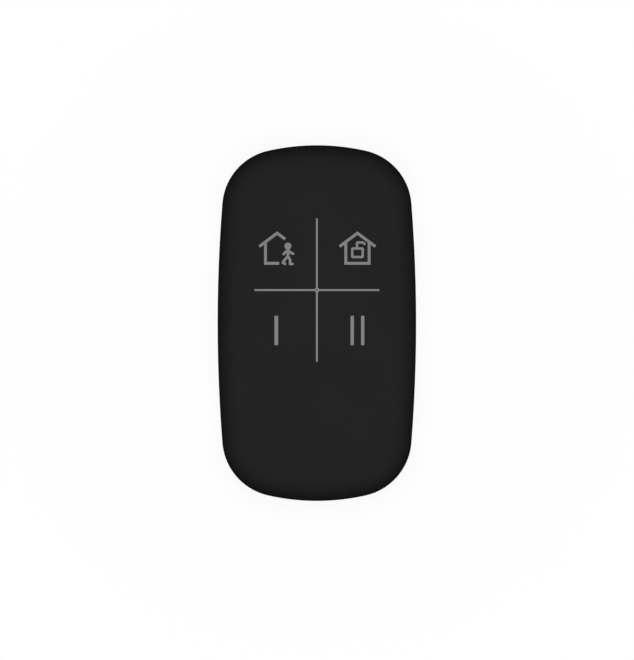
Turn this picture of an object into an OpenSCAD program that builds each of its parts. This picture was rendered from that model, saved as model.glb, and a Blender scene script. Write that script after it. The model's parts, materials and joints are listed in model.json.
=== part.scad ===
// Alarm key fob: a soft skin over a rigid frame, four keys above push switches on one board,
// and a coin cell behind a turn-lock door in the rear shell.
// Millimetres. The fob lies on its back: +Z points out of the key face and +Y to its top end.
// The origin is the centre of the flat back.

/* [Body] */
// Length of the outline
body_l = 60; // [58:0.5:66]
// Width of the outline
body_w = 33.5; // [32.8:0.1:37]
// Thickness from the flat back to the key face
body_t = 11.5; // [11.3:0.1:13.5]
// Radius of the slightly bowed long sides
side_r = 255; // [180:1:400]
// Radius of the bowed ends
end_r = 37.3; // [33:0.1:45]
// Radius of the corners
corner_r = 9.9; // [8.5:0.1:11]
// Radius of the roll from the key face into the sides
front_r = 3.6; // [3:0.1:4.2]
// Radius of the roll from the back into the sides
rear_r = 3; // [2.5:0.1:3.2]
// Height of the parting line above the back
part_z = 4.6; // [4.3:0.1:5]

/* [Walls] */
// Thickness of the soft skin
skin_t = 1; // [0.8:0.05:1.1]
// Thickness of the frame under the skin
frame_t = 1.15; // [1:0.05:1.25]
// Radius of the corner inside the frame
frame_fillet = 0.6; // [0.3:0.05:0.7]
// Thickness of the rear shell
shell_t = 1.5; // [1.2:0.1:1.7]
// Height of the frame's tongue inside the rear shell
tongue_h = 0.6; // [0.4:0.05:0.8]
// Clearance between that tongue and the rear shell
tongue_gap = 0.1; // [0.05:0.01:0.15]
// Open seam between the skin and the rear shell
seam_gap = 0.15; // [0.1:0.05:0.3]
// Bond line between the skin and the frame
bond_gap = 0.05; // [0.04:0.01:0.1]

/* [Keys] */
// Width of the strip of face between two keys
key_rib = 1.7; // [1.6:0.05:2.4]
// Distance from a key to the start of the face's roll
key_edge = 0.35; // [0.2:0.05:1]
// Distance of the keypad's centre from the upper end
keypad_in = 24.45; // [23.5:0.05:25.5]
// Height of one key. Its width fills the face.
key_h = 11.9; // [10.5:0.1:12.5]
// Corner radius of a key
key_corner_r = 3; // [2:0.1:4]
// Gap around a key
key_gap = 0.15; // [0.1:0.01:0.2]
// Width of the ledge that keeps a key under the frame
key_lip = 0.5; // [0.3:0.05:0.55]
// Thickness of that ledge
key_lip_t = 0.45; // [0.35:0.05:0.5]
// Gap between the ledge and the frame at rest
key_stop_gap = 0.05; // [0.03:0.01:0.08]
// Height of the foot that pushes the switch
key_foot_h = 0.2; // [0.15:0.05:0.3]
// Radius of that foot
key_foot_r = 1.2; // [0.9:0.1:1.6]
// Travel of a key
key_travel = 0.3; // [0.2:0.01:0.35]

/* [Switches] */
// Side of a switch's square base
switch_side = 5.2; // [4.8:0.1:6]
// Height of the base
switch_base_h = 1; // [0.95:0.05:1.1]
// Thickness of the cover plate
switch_cover_t = 0.15; // [0.1:0.01:0.2]
// Gap left between a key's foot and the cover at full travel
stem_spare = 0.05; // [0.03:0.01:0.1]
// Play of the stem under the cover at rest
stem_play = 0.03; // [0.02:0.01:0.05]
// Radius of the stem
stem_r = 1; // [0.8:0.05:1.2]
// Radius of the flange that keeps the stem under the cover
stem_flange_r = 1.35; // [1.3:0.05:1.4]
// Thickness of that flange
stem_flange_t = 0.25; // [0.2:0.01:0.28]
// Running gap around the stem
stem_gap = 0.08; // [0.05:0.01:0.1]
// Floor of the base under the snap dome
switch_floor = 0.2; // [0.15:0.01:0.25]
// Radius of the well in the base
well_r = 1.75; // [1.6:0.05:1.9]
// Thickness of the snap dome
dome_t = 0.07; // [0.05:0.01:0.08]
// Length of a solder terminal
terminal_l = 0.8; // [0.5:0.1:1]
// Width of a solder terminal
terminal_w = 0.7; // [0.5:0.1:0.9]
// Thickness of a solder terminal
terminal_t = 0.2; // [0.1:0.05:0.25]

/* [Board] */
// Thickness of the circuit board
board_t = 0.8; // [0.6:0.1:1]
// Distance from the outline to the edge of the board
board_inset = 3.75; // [3.7:0.05:4.5]
// Distance of each board screw from the side
screw_side_in = 7.65; // [7.2:0.05:8.2]
// Distance of the lower board screws from the lower end
screw_end_in = 8.5; // [8:0.1:9]
// Clearance between the upper screws' bosses and the keys
boss_gap = 1.05; // [0.5:0.05:1.2]
// Radius of a screw's shank
screw_r = 0.7; // [0.6:0.05:0.8]
// Radius of a screw's head
screw_head_r = 1.3; // [1.2:0.05:1.5]
// Height of a screw's head
screw_head_h = 0.6; // [0.5:0.05:0.8]
// Depth of the drive recess in a screw's head
drive_depth = 0.3; // [0.2:0.05:0.4]
// Width of each arm of the drive recess
drive_w = 0.3; // [0.2:0.05:0.4]
// Length of the drive recess across the head
drive_l = 1.8; // [1.4:0.1:2]
// Depth of thread left free at the end of a screw's bore
screw_spare = 0.45; // [0.2:0.05:0.8]
// Wall of a screw boss
boss_wall = 0.9; // [0.7:0.1:1.2]
// Clearance around a screw's shank
screw_gap = 0.03; // [0.02:0.01:0.05]
// Clearance between the lower screws' bosses and the radio chip
chip_gap = 1; // [0.5:0.1:2]
// Side of the radio chip
chip_side = 5; // [3:0.5:6]
// Height of the radio chip
chip_h = 0.85; // [0.6:0.05:1]
// Length of the crystal can
crystal_l = 3.2; // [2:0.1:3.5]
// Width of the crystal can
crystal_w = 2.5; // [1.6:0.1:2.6]
// Height of the crystal can
crystal_h = 0.7; // [0.5:0.05:0.9]
// Length of a chip capacitor
cap_l = 1; // [0.6:0.1:1.2]
// Width and height of a chip capacitor
cap_w = 0.5; // [0.3:0.1:0.6]
// Distance from one chip capacitor to the next
cap_pitch = 1.5; // [1.3:0.1:1.8]
// Capacitors in each of the two rows
cap_count = 4; // [2:1:4]
// Width of the antenna track
track_w = 0.5; // [0.3:0.1:0.6]
// Thickness of the antenna track
track_t = 0.07; // [0.05:0.01:0.1]
// Number of legs of the antenna track
track_legs = 8; // [4:1:9]

/* [Status light] */
// Side of the square light-emitting diode
led_side = 1.6; // [1:0.1:2]
// Height of the diode
led_h = 0.6; // [0.4:0.05:0.7]
// Radius of the light guide under the frame
guide_r = 0.9; // [0.7:0.1:1.2]
// Radius of the collar that seats under the frame
guide_collar_r = 1.4; // [1.2:0.1:1.5]
// Thickness of that collar
guide_collar_t = 0.35; // [0.3:0.05:0.5]
// Radius of the guide where it passes the frame
guide_neck_r = 0.7; // [0.5:0.05:0.8]
// Radius of the guide's tip in the key face
guide_tip_r = 0.2; // [0.15:0.01:0.3]
// Clearance around the guide
guide_gap = 0.05; // [0.03:0.01:0.1]

/* [Battery] */
// Diameter of the coin cell
cell_d = 20; // [19:0.1:20.5]
// Thickness of the coin cell
cell_t = 3.2; // [2.5:0.1:3.3]
// Step between the cell's can and its cap
cell_step = 1.1; // [0.8:0.1:1.5]
// Height of that cap
cell_cap_h = 0.3; // [0.2:0.05:0.4]
// Distance of the cell's centre from the lower end
cell_in = 18.5; // [18:0.1:19.5]
// Clearance around the cell in its holder
cell_gap = 0.2; // [0.1:0.05:0.3]
// Wall of the holder ring
holder_wall = 1; // [0.8:0.1:1.1]
// Width of the contact springs
contact_w = 3; // [2:0.1:4]
// Thickness of the contact springs
contact_t = 0.15; // [0.1:0.01:0.2]
// Length of the cell's top contact
contact_l = 9; // [6:0.5:11]

/* [Battery door] */
// Distance of the door's face in from the back
door_sunk = 0.1; // [0.05:0.01:0.2]
// Thickness of the door's rim
door_rim_t = 1; // [0.9:0.05:1.1]
// Overlap of the door's rim on the seat in the shell
door_seat = 0.85; // [0.8:0.05:0.9]
// Thickness of the seat
seat_t = 0.6; // [0.5:0.05:0.7]
// Wall around the door's opening
seat_wall = 1.2; // [1:0.1:1.3]
// Running gap around the door
door_gap = 0.15; // [0.1:0.01:0.2]
// Vertical running gap at the seat and the lugs
lug_gap = 0.05; // [0.03:0.01:0.08]
// Thickness of the locking lugs
lug_t = 0.55; // [0.45:0.05:0.6]
// Reach of a lug past the plug
lug_reach = 0.75; // [0.6:0.05:0.8]
// Angle that one lug covers
lug_angle = 24; // [16:1:30]
// Angle to spare on each side of a lug in its entry notch
notch_spare = 3; // [2:0.5:5]
// Turn from locked to open
door_turn = 45; // [40:1:50]
// Number of lugs
lug_count = 3; // [2:1:3]
// Length of the coin slot
slot_l = 14; // [10:0.5:16]
// Width of the coin slot
slot_w = 2.2; // [1.8:0.1:2.6]
// Depth of the coin slot
slot_depth = 1.2; // [0.8:0.1:1.3]
// Chamfer around the door's face
door_chamfer = 0.3; // [0.2:0.05:0.4]
// Section diameter of the sealing ring
seal_d = 0.5; // [0.4:0.05:0.55]
// Clearance around the sealing ring in its groove
seal_gap = 0.02; // [0.01:0.01:0.03]
// Radius of the position marks
mark_r = 0.45; // [0.3:0.05:0.5]
// Depth of the position marks
mark_depth = 0.25; // [0.15:0.05:0.3]
// Distance from a mark's edge to the edge of the door
mark_in = 0.5; // [0.4:0.05:0.8]

/* [Snap tabs] */
// Distance of the lower tabs from the lower end
tab_low_in = 13; // [12:0.5:15]
// Distance of the middle tabs from the upper end
tab_mid_in = 27; // [24:0.5:29]
// Distance of the upper tabs from the upper end
tab_high_in = 11.5; // [11.5:0.5:15]
// Width of a tab
tab_w = 5; // [4:0.5:6]
// Thickness of a tab
tab_t = 0.9; // [0.7:0.05:1]
// Height of a tab's top above the back
tab_top = 7.5; // [7:0.1:7.7]
// Reach of a tab's nose into the frame
nose_reach = 0.45; // [0.3:0.05:0.5]
// Height of the nose
nose_h = 0.8; // [0.6:0.05:1]
// Clearance between a tab and the frame
tab_gap = 0.15; // [0.1:0.01:0.2]

/* [Lanyard hole] */
// Radius of the lanyard hole
lanyard_r = 1.25; // [1:0.05:1.3]
// Distance of the rear mouth from the lower end
lanyard_in = 4.4; // [4:0.1:4.8]
// Height of the end mouth above the back
lanyard_z = 2.75; // [2.6:0.05:2.9]
// Width of the lug around the hole
lug_w = 7; // [5:0.5:9]
// Wall of the lug around the hole
lug_wall = 0.5; // [0.4:0.05:0.55]

/* [Print] */
// Thickness of the printed film
ink_t = 0.06; // [0.04:0.01:0.1]
// Width of the dividing lines
line_w = 0.32; // [0.25:0.01:0.6]
// Half length of the line across
line_x = 10.5; // [8:0.05:11]
// Half length of the line along
line_y = 12.05; // [9:0.05:13]
// Radius of the ring around the status light
dot_r = 0.42; // [0.35:0.01:0.8]
// Grid on which the key symbols are drawn
grid_pitch = 0.1; // [0.085:0.005:0.11]
// Stroke of the house
house_stroke = 0.48; // [0.4:0.01:0.7]
// Stroke of the walking figure
figure_stroke = 0.43; // [0.35:0.01:0.6]
// Stroke of the padlock
lock_stroke = 0.4; // [0.3:0.01:0.6]
// Outer corner radius of the padlock's frame
lock_corner_r = 0.34; // [0.1:0.01:0.6]
// Width of the bar on the first lower key
bar_w = 0.62; // [0.4:0.01:0.9]
// Width of each bar of the pair on the second
pair_w = 0.56; // [0.4:0.01:0.9]
// Length of those bars
bar_l = 4.95; // [3:0.05:6]
// Spacing of the pair of bars
bar_pitch = 1.76; // [1.3:0.01:2.2]
// Corner radius of the bars
bar_corner_r = 0.12; // [0.05:0.01:0.18]

/* [Hidden] */

// Curves finer than this are not needed on so small a part.
$fn = 48;
// Overshoot of a cutting shape past the face that it cuts.
eps = 0.5;
// Depth by which ribs and lugs grow into the wall that they stand on.
bite = 0.2;
// Segments of the outline's side, corner and end arcs, and of a roll.
side_steps = 4;
corner_steps = 9;
end_steps = 5;
roll_steps = 7;

// Places along Y, from the ends of the body.
keypad_y = body_l / 2 - keypad_in;
cell_y = cell_in - body_l / 2;
tab_places = [tab_low_in - body_l / 2, body_l / 2 - tab_mid_in, body_l / 2 - tab_high_in];

// Key columns and rows: -1 is left or lower, 1 is right or upper.
AWAY = [-1, 1];
DISARM = [1, 1];
ONE = [-1, -1];
TWO = [1, -1];
KEYS = [AWAY, DISARM, ONE, TWO];
key_w = body_w / 2 - front_r - key_edge - key_rib / 2;
key_size = [key_w, key_h];
key_pitch = key_size + [key_rib, key_rib];
function key_at(key) = [key.x * key_pitch.x / 2, keypad_y + key.y * key_pitch.y / 2];

// Board screws: the lower pair beside the cell, the upper pair above the keys.
boss_r = screw_r + boss_wall;
screw_x = body_w / 2 - screw_side_in;
screw_low = screw_end_in - body_l / 2;
screw_high = key_at([1, 1]).y + key_h / 2 + key_lip + boss_gap + boss_r;

// Heights, from the key face down to the board.
skin_z = body_t - skin_t;
frame_top = skin_z - bond_gap;
frame_z = frame_top - frame_t;
lip_top = frame_z - key_stop_gap;
lip_z = lip_top - key_lip_t;
foot_z = lip_z - key_foot_h;
cover_top = foot_z - key_travel - stem_spare;
base_top = cover_top - switch_cover_t;
flange_z = base_top - stem_play - stem_flange_t;
board_top = base_top - switch_base_h;
board_z = board_top - board_t;

// Heights, from the back up to the cell.
rim_top = door_sunk + door_rim_t;
seat_z = rim_top + lug_gap;
seat_top = seat_z + seat_t;
lug_z = seat_top + lug_gap;
plug_top = lug_z + lug_t;
cell_z = plug_top + lug_gap;
cell_top = cell_z + cell_t;

// Radii around the cell's axis.
cell_r = cell_d / 2;
holder_r = cell_r + cell_gap;
plug_r = cell_r + seal_d + 2 * seal_gap + cell_gap;
seat_r = plug_r + door_gap;
rim_r = plug_r + door_seat;
opening_r = rim_r + door_gap;
lug_r = plug_r + lug_reach;

// Insets from the outline.
frame_inset = skin_t + bond_gap;
frame_inner = frame_inset + frame_t;
tab_inset = frame_inner + tab_gap;
tongue_inset = shell_t + tongue_gap;
skin_foot = part_z + seam_gap;
tongue_z = part_z - tongue_h;
lanyard_y = lanyard_in - body_l / 2;

// Arcs of the outline's first quarter. Each arc is met by the next one tangentially.
side_c = [body_w / 2 - side_r, 0];
end_c = [0, body_l / 2 - end_r];
centre_line = end_c - side_c;
centre_gap = norm(centre_line);
along = centre_line / centre_gap;
foot_on_line = ((side_r - corner_r) ^ 2 - (end_r - corner_r) ^ 2 + centre_gap ^ 2) / (2 * centre_gap);
off_line = sqrt((side_r - corner_r) ^ 2 - foot_on_line ^ 2);
corner_c = side_c + foot_on_line * along + off_line * [-along.y, along.x];
side_end = atan2(corner_c.y - side_c.y, corner_c.x - side_c.x);
corner_end = atan2(corner_c.y - end_c.y, corner_c.x - end_c.x);

// Directions of the outline's normal around the rim, closer together on the corners.
quarter = [
    for (i = [0 : side_steps - 1]) side_end * i / side_steps,
    for (i = [0 : corner_steps - 1]) side_end + (corner_end - side_end) * i / corner_steps,
    for (i = [0 : end_steps - 1]) corner_end + (90 - corner_end) * i / end_steps,
    90
];
turns = len(quarter) - 1;
rim_angles = [
    for (q = [0 : 3], k = [0 : turns - 1])
        q % 2 == 0 ? 90 * q + quarter[k] : 90 * (q + 1) - quarter[turns - k]
];

// Point of the outline whose normal points along angle, moved in by inset.
function rim(angle, inset = 0) =
    let (
        turned = angle % 180,
        folded = turned > 90 ? 180 - turned : turned,
        arc = folded < side_end ? [side_c, side_r]
            : folded < corner_end ? [corner_c, corner_r]
            : [end_c, end_r],
        p = arc[0] + (arc[1] - inset) * [cos(folded), sin(folded)]
    )
    [p.x * (angle > 90 && angle < 270 ? -1 : 1), p.y * (angle > 180 ? -1 : 1)];

// Levels of a roll, as pairs of inset and height: over to a top face, or up from a bottom face.
function roll_over(inset, top, r) =
    [
        for (i = [0 : roll_steps])
            let (a = 90 * i / roll_steps)
            [inset + r * (1 - cos(a)), top - r * (1 - sin(a))]
    ];
function roll_up(inset, bottom, r) =
    [
        for (i = [0 : roll_steps])
            let (a = 90 * i / roll_steps)
            [inset + r * (1 - sin(a)), bottom + r * (1 - cos(a))]
    ];

// Solid whose outline at each level is the rim moved in by that level's inset.
module pebble(levels) {
    n = len(rim_angles);
    last = len(levels) - 1;
    points = [for (level = levels, a = rim_angles) let (p = rim(a, level[0])) [p.x, p.y, level[1]]];
    walls = [
        for (k = [0 : last - 1], i = [0 : n - 1])
            let (j = (i + 1) % n, low = k * n, high = (k + 1) * n)
            each [[low + i, high + j, low + j], [low + i, high + i, high + j]]
    ];
    bottom = [for (i = [0 : n - 1]) i];
    top = [for (i = [n - 1 : -1 : 0]) last * n + i];
    polyhedron(points, concat([bottom], walls, [top]));
}

// Rectangle with round corners, centred on the origin.
module rounded_rect(size, r) {
    square(size - [0, 2 * r], center = true);
    square(size - [2 * r, 0], center = true);
    for (x = [-1, 1], y = [-1, 1])
        translate([x * (size.x / 2 - r), y * (size.y / 2 - r)]) circle(r);
}

// Key outline grown by a margin on every side, as a slab.
module key_slab(margin, z, h) {
    translate([0, 0, z]) linear_extrude(h)
        rounded_rect(key_size + 2 * [margin, margin], key_corner_r + margin);
}

module at_key(key) {
    translate(key_at(key)) children();
}

module at_cell() {
    translate([0, cell_y]) children();
}

module at_screws() {
    for (x = [-1, 1], y = [screw_low, screw_high])
        translate([x * screw_x, y]) children();
}

// Places children at a snap tab, with +X pointing out of the side.
module at_tabs() {
    for (place = tab_places, side = [0, 180]) {
        angle = asin(place / side_r);
        turn = side == 0 ? angle : 180 - angle;
        p = rim((turn + 360) % 360, tab_inset);
        translate(p) rotate(turn) children();
    }
}

// Openings for the four keys, through everything between two heights.
module key_openings(z, h) {
    for (key = KEYS)
        at_key(key) key_slab(key_gap, z, h);
}

// Soft outer skin of the front, from the parting line over the key face.
module front_skin() {
    color("#232323")
    difference() {
        pebble(concat([[0, skin_foot]], roll_over(0, body_t, front_r)));
        pebble(concat([[skin_t, part_z - eps]], roll_over(skin_t, skin_z, front_r - skin_t)));
        key_openings(skin_z - eps, skin_t + 2 * eps);
        translate([0, keypad_y, skin_z - eps]) cylinder(r = guide_tip_r + guide_gap, h = skin_t + 2 * eps);
    }
}

// Rigid frame under the skin. It carries the keys, the light guide and the board's screws.
module front_frame() {
    color("#303236")
    difference() {
        union() {
            difference() {
                pebble(concat(
                    [[tongue_inset, tongue_z], [tongue_inset, skin_foot], [frame_inset, skin_foot]],
                    roll_over(frame_inset, frame_top, front_r - frame_inset)));
                pebble(concat(
                    [[frame_inner, tongue_z - eps]],
                    roll_over(frame_inner, frame_z, frame_fillet)));
            }
            at_screws() translate([0, 0, board_top])
                cylinder(r = boss_r, h = frame_z - board_top + bite);
        }
        key_openings(frame_z - eps, frame_t + 2 * eps);
        translate([0, keypad_y, frame_z - eps])
            cylinder(r = guide_neck_r + guide_gap, h = frame_t + 2 * eps);
        at_screws() translate([0, 0, board_top - eps])
            cylinder(r = screw_r + screw_gap, h = frame_z - board_top + eps);
        at_tabs() snap_window();
        translate([-lug_w / 2 - tab_gap, -body_l / 2, tongue_z - eps])
            cube([lug_w + 2 * tab_gap, lanyard_in, skin_foot - tongue_z + eps]);
    }
}

// Pocket in the frame's wall that takes a tab's nose.
module snap_window() {
    depth = tab_gap + nose_reach;
    translate([-tab_gap, -tab_w / 2 - tab_gap, tab_top - nose_h - tab_gap])
        cube([tab_gap + depth, tab_w + 2 * tab_gap, nose_h + 2 * tab_gap]);
}

// Snap tab that stands on the rear shell's floor and clips into the frame.
module snap_tab() {
    translate([-tab_t, -tab_w / 2, shell_t - bite]) cube([tab_t, tab_w, tab_top - shell_t + bite]);
    translate([0, tab_w / 2, tab_top - nose_h]) rotate([90, 0, 0])
        linear_extrude(tab_w)
            polygon([[-tab_t / 2, 0], [nose_reach, 0], [0, nose_h], [-tab_t / 2, nose_h]]);
}

// Rib that joins a snap tab to the shell's side wall, below the frame's tongue.
module tab_rib() {
    reach = tab_t + tab_inset - shell_t + bite;
    translate([-tab_t, -tab_w / 2, shell_t - bite])
        cube([reach, tab_w, tongue_z - tab_gap - shell_t + bite]);
}

// Rear shell: the back, its rolled edge, the door's seat, the lanyard lug and the snap tabs.
module rear_shell() {
    color("#232323")
    difference() {
        union() {
            difference() {
                pebble(concat(roll_up(0, 0, rear_r), [[0, part_z]]));
                pebble(concat(roll_up(shell_t, shell_t, rear_r - shell_t), [[shell_t, part_z + eps]]));
            }
            at_cell() translate([0, 0, shell_t - bite])
                cylinder(r = opening_r + seat_wall, h = seat_top - shell_t + bite);
            at_tabs() {
                snap_tab();
                tab_rib();
            }
            translate([-lug_w / 2, -body_l / 2 + shell_t - bite, shell_t - bite])
                cube([lug_w, lanyard_in + lanyard_r + lug_wall - shell_t + bite,
                    lanyard_z + lanyard_r + lug_wall - shell_t + bite]);
        }
        at_cell() {
            translate([0, 0, -eps]) cylinder(r = opening_r, h = seat_z + eps);
            translate([0, 0, -eps]) cylinder(r = seat_r, h = seat_top + 2 * eps);
            rotate(-door_turn)
                lug_sectors(lug_r + door_gap, lug_angle + 2 * notch_spare, seat_z - eps, seat_t + 2 * eps);
            for (a = [0, door_turn]) rotate(90 - a) translate([opening_r + mark_in + mark_r, 0, -eps])
                cylinder(r = mark_r, h = mark_depth + eps);
        }
        translate([0, lanyard_y, -eps]) cylinder(r = lanyard_r, h = lanyard_z + eps);
        translate([0, lanyard_y, lanyard_z]) rotate([90, 0, 0])
            cylinder(r = lanyard_r, h = lanyard_in + eps);
        translate([0, lanyard_y, lanyard_z]) sphere(lanyard_r);
    }
}

// Ring sectors for the door's lugs, or for the notches that let them through.
module lug_sectors(r, angle, z, h) {
    for (i = [0 : lug_count - 1])
        rotate(360 / lug_count * i - angle / 2) translate([0, 0, z])
            rotate_extrude(angle = angle)
                translate([plug_r - lug_reach, 0]) square([r - plug_r + lug_reach, h]);
}

// Turn-lock door with its lugs, coin slot, position mark and the groove of its sealing ring.
module battery_door() {
    groove_r = plug_r + door_seat / 2;
    color("#2a2a2b")
    at_cell() difference() {
        union() {
            rotate_extrude() polygon([
                [0, door_sunk], [rim_r - door_chamfer, door_sunk], [rim_r, door_sunk + door_chamfer],
                [rim_r, rim_top], [plug_r, rim_top], [plug_r, plug_top], [0, plug_top]
            ]);
            lug_sectors(lug_r, lug_angle, lug_z, lug_t);
        }
        translate([-slot_l / 2, -slot_w / 2, -eps]) cube([slot_l, slot_w, slot_depth + door_sunk + eps]);
        rotate_extrude() translate([groove_r - seal_d / 2 - seal_gap, rim_top - seal_d - seal_gap])
            square([seal_d + 2 * seal_gap, seal_d + seal_gap + eps]);
        translate([0, rim_r - mark_in - mark_r, -eps])
            cylinder(r = mark_r, h = door_sunk + mark_depth + eps);
    }
}

module door_seal() {
    color("#141414")
    at_cell() translate([0, 0, rim_top - seal_d / 2])
        rotate_extrude() translate([plug_r + door_seat / 2, 0]) circle(d = seal_d, $fn = 24);
}

// Soft top of one key. It belongs to the skin, and only its flexing zone moves.
module key_pad(key) {
    color("#232323") at_key(key) key_slab(0, skin_z, skin_t);
}

// Rigid plate bonded under a key's soft top, kept under the frame by its ledge.
module key_plate(key) {
    color("#4a4c50")
    at_key(key) {
        key_slab(0, lip_top, skin_z - lip_top);
        key_slab(key_lip, lip_z, key_lip_t);
        translate([0, 0, foot_z]) cylinder(r = key_foot_r, h = key_foot_h);
    }
}

// Stem of one switch.
module switch_stem(key) {
    color("#c8c4b8")
    at_key(key) {
        translate([0, 0, flange_z]) cylinder(r = stem_flange_r, h = stem_flange_t);
        translate([0, 0, flange_z]) cylinder(r = stem_r, h = foot_z - flange_z);
    }
}

// Snap dome of one switch: a shallow cap of a sphere.
module switch_dome(key) {
    floor_z = board_top + switch_floor;
    base_r = well_r - stem_gap;
    rise = flange_z - stem_play - floor_z;
    ball_r = (base_r ^ 2 + rise ^ 2) / (2 * rise);
    color("#c9cbd0")
    at_key(key) intersection() {
        translate([0, 0, floor_z + rise - ball_r]) difference() {
            sphere(ball_r);
            sphere(ball_r - dome_t);
        }
        translate([0, 0, floor_z]) cylinder(r = base_r, h = rise + eps);
    }
}

module switch_bases() {
    color("#1b1b1d")
    for (key = KEYS) at_key(key) difference() {
        translate([-switch_side / 2, -switch_side / 2, board_top])
            cube([switch_side, switch_side, switch_base_h]);
        translate([0, 0, board_top + switch_floor]) cylinder(r = well_r, h = switch_base_h);
    }
}

module switch_covers() {
    color("#b9bbc0")
    for (key = KEYS) at_key(key) difference() {
        translate([-switch_side / 2, -switch_side / 2, base_top])
            cube([switch_side, switch_side, switch_cover_t]);
        translate([0, 0, base_top - eps]) cylinder(r = stem_r + stem_gap, h = switch_cover_t + 2 * eps);
    }
}

module switch_terminals() {
    color("#c9cbd0")
    for (key = KEYS, x = [-1, 1], y = [-1, 1]) at_key(key)
        translate([x * (switch_side + terminal_l) / 2, y * (switch_side / 2 - terminal_w), board_top])
            translate([0, 0, terminal_t / 2]) cube([terminal_l, terminal_w, terminal_t], center = true);
}

module circuit_board() {
    color("#1f5a34")
    difference() {
        pebble([[board_inset, board_z], [board_inset, board_top]]);
        at_screws() translate([0, 0, board_z - eps])
            cylinder(r = screw_r + screw_gap, h = board_t + 2 * eps);
    }
}

module board_screws() {
    color("#9a9ca2")
    at_screws() difference() {
        union() {
            translate([0, 0, board_z - screw_head_h]) cylinder(r = screw_head_r, h = screw_head_h);
            translate([0, 0, board_z - screw_head_h / 2])
                cylinder(r = screw_r, h = frame_z - screw_spare - board_z + screw_head_h / 2);
        }
        for (turn = [0, 90]) rotate(turn) translate([0, 0, board_z - screw_head_h])
            cube([drive_l, drive_w, 2 * drive_depth], center = true);
    }
}

// Middle of the row of radio parts, on the free stretch of board below the keys.
parts_y = screw_low + boss_r + chip_gap + chip_side / 2;

module radio_chip() {
    color("#17181a")
    translate([-chip_side / 2, parts_y - chip_side / 2, board_top]) cube([chip_side, chip_side, chip_h]);
}

module crystal() {
    color("#c2c4c8")
    translate([chip_side, parts_y - crystal_w / 2, board_top]) cube([crystal_l, crystal_w, crystal_h]);
}

module chip_capacitors() {
    color("#8a7355")
    for (row = [-1, 1], i = [0 : cap_count - 1])
        translate([-chip_side - cap_pitch * i, parts_y + row * cap_pitch / 2, board_top + cap_w / 2])
            cube([cap_l, cap_w, cap_w], center = true);
}

// Meandering antenna track at the board's top end.
module antenna_track() {
    pitch = 3 * track_w;
    leg = body_l / 2 - board_inset - key_at(AWAY).y - key_h / 2 - 3 * track_w;
    left = -pitch * (track_legs - 1) / 2;
    low = body_l / 2 - board_inset - 2 * track_w - leg;
    color("#b87333")
    translate([0, 0, board_top])
    linear_extrude(track_t) {
        for (i = [0 : track_legs - 1])
            translate([left + pitch * i - track_w / 2, low]) square([track_w, leg]);
        for (i = [0 : track_legs - 2])
            translate([left + pitch * i - track_w / 2, i % 2 == 0 ? low + leg - track_w : low])
                square([pitch + track_w, track_w]);
    }
}

module status_led() {
    color("#e8e4d2")
    translate([-led_side / 2, keypad_y - led_side / 2, board_top]) cube([led_side, led_side, led_h]);
}

// Clear guide from the diode to a pin-sized tip in the middle of the keypad.
module light_guide() {
    collar_top = frame_z - guide_gap;
    color("#cfd4d6")
    translate([0, keypad_y, 0]) rotate_extrude() polygon([
        [0, board_top + led_h + guide_gap],
        [guide_r, board_top + led_h + guide_gap],
        [guide_r, collar_top - guide_collar_t],
        [guide_collar_r, collar_top - guide_collar_t],
        [guide_collar_r, collar_top],
        [guide_neck_r, collar_top],
        [guide_neck_r, frame_top],
        [guide_tip_r, frame_top],
        [guide_tip_r, body_t + ink_t],
        [0, body_t + ink_t]
    ]);
}

module coin_cell() {
    color("#c4c6ca")
    at_cell() {
        translate([0, 0, cell_z]) cylinder(r = cell_r, h = cell_t - cell_cap_h);
        translate([0, 0, cell_z]) cylinder(r = cell_r - cell_step, h = cell_t);
    }
}

// Ring that holds the cell, open on one side for the spring on the cell's edge.
module cell_holder() {
    color("#1b1b1d")
    at_cell() difference() {
        translate([0, 0, cell_z + lug_gap])
            cylinder(r = holder_r + holder_wall, h = board_z - cell_z - lug_gap);
        translate([0, 0, cell_z - eps]) cylinder(r = holder_r, h = board_z - cell_z + 2 * eps);
        translate([0, -contact_w / 2 - cell_gap, cell_z - eps])
            cube([holder_r + holder_wall + eps, contact_w + 2 * cell_gap, board_z - cell_z + 2 * eps]);
    }
}

// Bends of a contact spring, as shares of its length: a flat root, a slope, a flat tip and a turned-up end.
bends = [0, 0.35, 0.65, 0.75, 1];

// Outline of a bent strip that follows a line of points.
function strip(line, t) = concat(
    [for (p = line) p],
    [for (i = [len(line) - 1 : -1 : 0]) [line[i].x, line[i].y + t]]
);

// Spring under the board that presses on the cell's cap.
module negative_contact() {
    drop = board_z - cell_top - contact_t;
    heights = [0, 0, -drop, -drop, -drop / 2];
    line = [for (i = [0 : len(bends) - 1]) [contact_l * bends[i], heights[i]]];
    color("#d0b45a")
    at_cell() translate([-contact_l / 2, contact_w / 2, board_z - contact_t]) rotate([90, 0, 0])
        linear_extrude(contact_w) polygon(strip(line, contact_t));
}

// Spring beside the cell that presses on its edge.
module positive_contact() {
    free = holder_wall + cell_gap - contact_t;
    tall = board_z - cell_z - 2 * lug_gap;
    heights = [-free, -free, -lug_gap, -lug_gap, -free / 2];
    line = [for (i = [0 : len(bends) - 1]) [tall * bends[i], heights[i]]];
    color("#d0b45a")
    at_cell() translate([cell_r, -contact_w / 2, board_z]) rotate([0, 90, 90])
        linear_extrude(contact_w) polygon(strip(line, -contact_t));
}

// Printed film on the key face.
module ink() {
    color("#808080") translate([0, 0, body_t]) linear_extrude(ink_t) children();
}

// Stroke from one point to another with square ends.
module bar(a, b, w) {
    side = [a.y - b.y, b.x - a.x] / norm(b - a) * w / 2;
    polygon([a + side, a - side, b - side, b + side]);
}

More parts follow.
